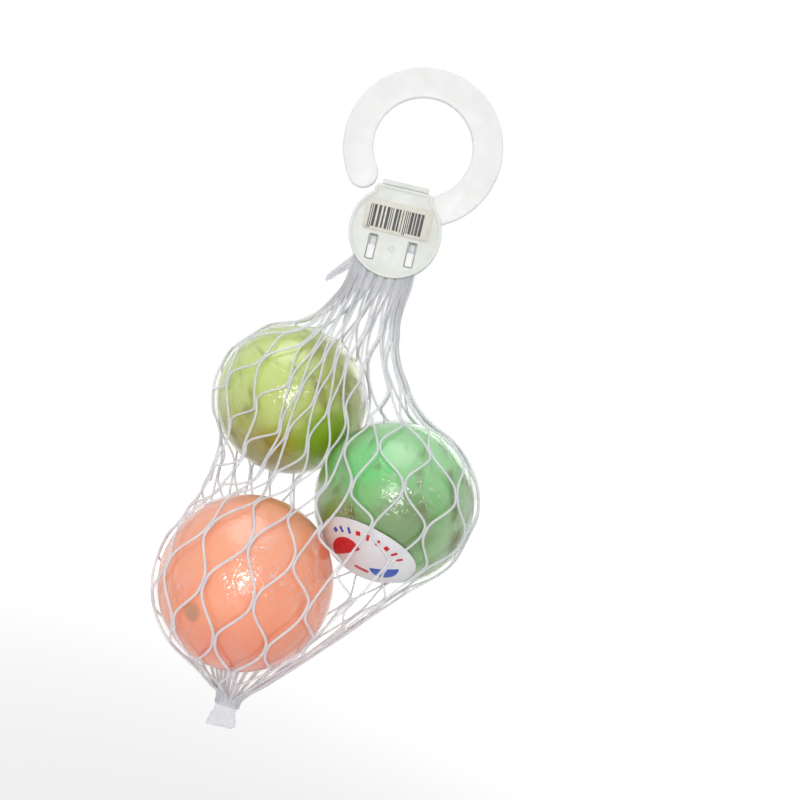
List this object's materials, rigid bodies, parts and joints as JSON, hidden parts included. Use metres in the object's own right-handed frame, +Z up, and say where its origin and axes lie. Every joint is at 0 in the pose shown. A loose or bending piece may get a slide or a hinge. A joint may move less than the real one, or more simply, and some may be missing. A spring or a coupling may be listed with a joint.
{
  "type": "mesh ball bag",
  "caption": "Hanging retail net holding play balls wrapped in clear film, gathered into a snap-shut plastic clip with an open hook ring above and a welded tab below.",
  "frame": {"origin": "top of the hook ring's eye, where a hook or a peg carries the bag, in the middle of the clip's depth", "axes": "+Z up along the bag as it hangs, +X to the right seen from the front, -Y out of the labelled front of the clip"},
  "size_m": [0.125, 0.1236, 0.2758],
  "materials": {
    "hanger_plastic": "satin moulded white polypropylene",
    "net_plastic": "extruded white polyethylene strand",
    "net_skin": "open knotless net, seen as a thin skin",
    "clear_film": "crinkled glossy clear film",
    "label_paper": "printed label paper",
    "sticker_paper": "glossy printed sticker",
    "rubber_yellow": "smooth yellow-green rubber",
    "rubber_green": "smooth green rubber",
    "rubber_orange": "smooth orange rubber"
  },
  "bodies": {
    "hanger": {"hanger_plate": "hanger_plastic", "living_hinge": "hanger_plastic", "net_clip_end": "net_plastic"},
    "clip_front": {"front_plate": "hanger_plastic", "barcode_label": "label_paper"},
    "neck_upper": {"net_neck_upper": "net_plastic"},
    "neck_lower": {"net_neck_lower": "net_plastic"},
    "bag": {"net_body": "net_skin", "bottom_weld": "net_plastic"},
    "ball_yellow": {"ball_yellow_upper_shell": "rubber_yellow", "ball_yellow_lower_shell": "rubber_yellow", "wrap_yellow": "clear_film"},
    "ball_green": {"ball_green_upper_shell": "rubber_green", "ball_green_lower_shell": "rubber_green", "wrap_green": "clear_film", "sticker_green": "sticker_paper"},
    "ball_orange": {"ball_orange_upper_shell": "rubber_orange", "ball_orange_lower_shell": "rubber_orange", "wrap_orange": "clear_film"}
  },
  "joints": [
    {"name": "clip_open", "type": "hinge", "parent": "hanger", "child": "clip_front", "pos_m": [-0.00147, -0.0008, -0.03928], "axis": [-0.9967, 0, -0.081], "range_deg": [0, 165], "deforming": ["living_hinge"]},
    {"name": "neck_swing", "type": "hinge", "parent": "hanger", "child": "neck_upper", "pos_m": [0, 0, -0.0785], "axis": [1, 0, 0], "range_deg": [-70, 70], "deforming": ["net_neck_upper"]},
    {"name": "neck_twist", "type": "hinge", "parent": "neck_upper", "child": "neck_lower", "pos_m": [0, 0, -0.0884], "axis": [0, 0, 1], "range_deg": [-90, 90], "deforming": ["net_neck_lower"]},
    {"name": "neck_sway", "type": "hinge", "parent": "neck_lower", "child": "bag", "pos_m": [0, 0, -0.0977], "axis": [0, 1, 0], "range_deg": [-25, 25]},
    {"name": "spin_yellow", "type": "hinge", "parent": "bag", "child": "ball_yellow", "pos_m": [-0.02222, 0.02725, -0.13574], "axis": [0, 0, 1], "continuous": true},
    {"name": "spin_green", "type": "hinge", "parent": "bag", "child": "ball_green", "pos_m": [0.03315, -0.00012, -0.1612], "axis": [0, 0, 1], "continuous": true},
    {"name": "spin_orange", "type": "hinge", "parent": "bag", "child": "ball_orange", "pos_m": [-0.01093, -0.02713, -0.20351], "axis": [0, 0, 1], "continuous": true}
  ]
}
